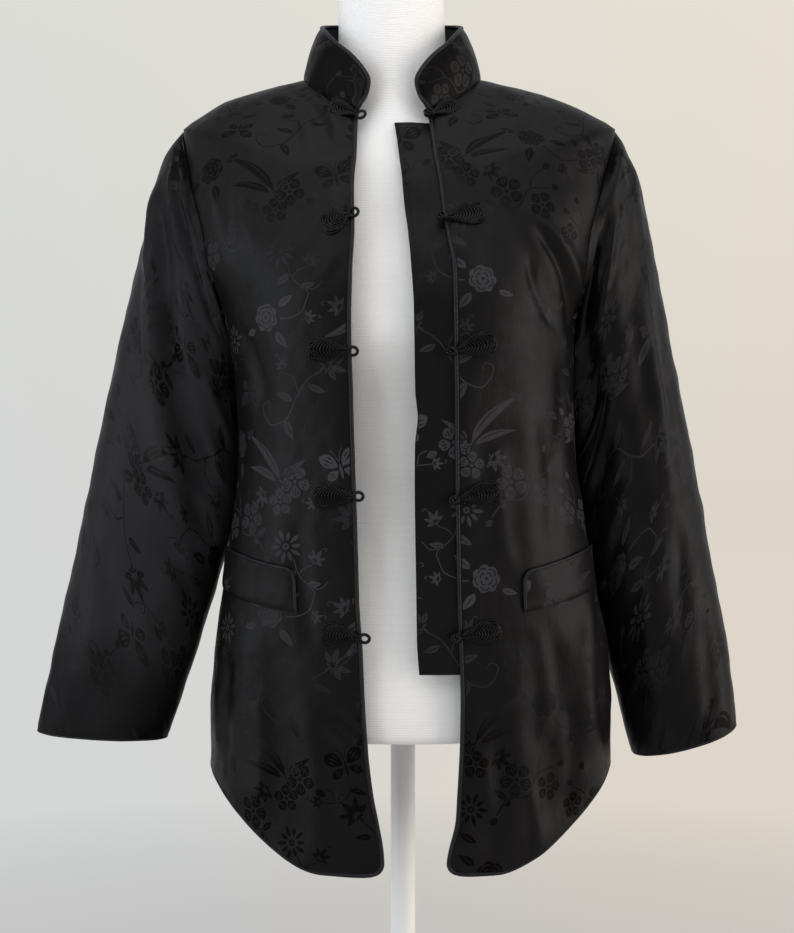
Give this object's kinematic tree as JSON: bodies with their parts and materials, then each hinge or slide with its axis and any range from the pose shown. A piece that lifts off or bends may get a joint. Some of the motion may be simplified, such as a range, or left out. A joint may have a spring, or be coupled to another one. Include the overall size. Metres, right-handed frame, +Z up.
{
  "type": "tang jacket on a limbless dress form",
  "caption": "Dark damask tang jacket with stand collar, frog closures, corded edges and welt pockets, worn open on a white limbless dress form with pole and round base.",
  "frame": {"origin": "centre of the base's underside, on the pole's axis, on the floor", "axes": "+Z up along the pole; the jacket faces -Y; +X is the wearer's left"},
  "size_m": [0.7169, 0.34, 1.378],
  "materials": {
    "damask_cloth": "charcoal satin damask, tone on tone, lightly padded",
    "black_cord": "black satin bias cord, twisted",
    "form_jersey": "white matt knitted jersey, stretched",
    "neck_cap": "white matt moulded cap",
    "white_paint": "white satin powder coat on steel"
  },
  "bodies": {
    "root": {"front_right": "damask_cloth", "front_left": "damask_cloth", "back": "damask_cloth", "sleeve_right": "damask_cloth", "sleeve_left": "damask_cloth", "collar": "damask_cloth", "under_placket": "damask_cloth", "welt_right": "damask_cloth", "welt_left": "damask_cloth", "piping_front_right": "black_cord", "piping_front_left": "black_cord", "piping_collar": "black_cord", "piping_hem_back": "black_cord", "piping_cuff_right": "black_cord", "piping_cuff_left": "black_cord", "piping_welt_right": "black_cord", "piping_welt_left": "black_cord", "frog_loop_1": "black_cord", "frog_loop_2": "black_cord", "frog_loop_3": "black_cord", "frog_loop_4": "black_cord", "frog_loop_5": "black_cord", "frog_knot_1": "black_cord", "frog_knot_2": "black_cord", "frog_knot_3": "black_cord", "frog_knot_4": "black_cord", "frog_knot_5": "black_cord", "form_body": "form_jersey", "form_neck_cap": "neck_cap", "form_pole": "white_paint", "form_base": "white_paint"}
  },
  "joints": []
}
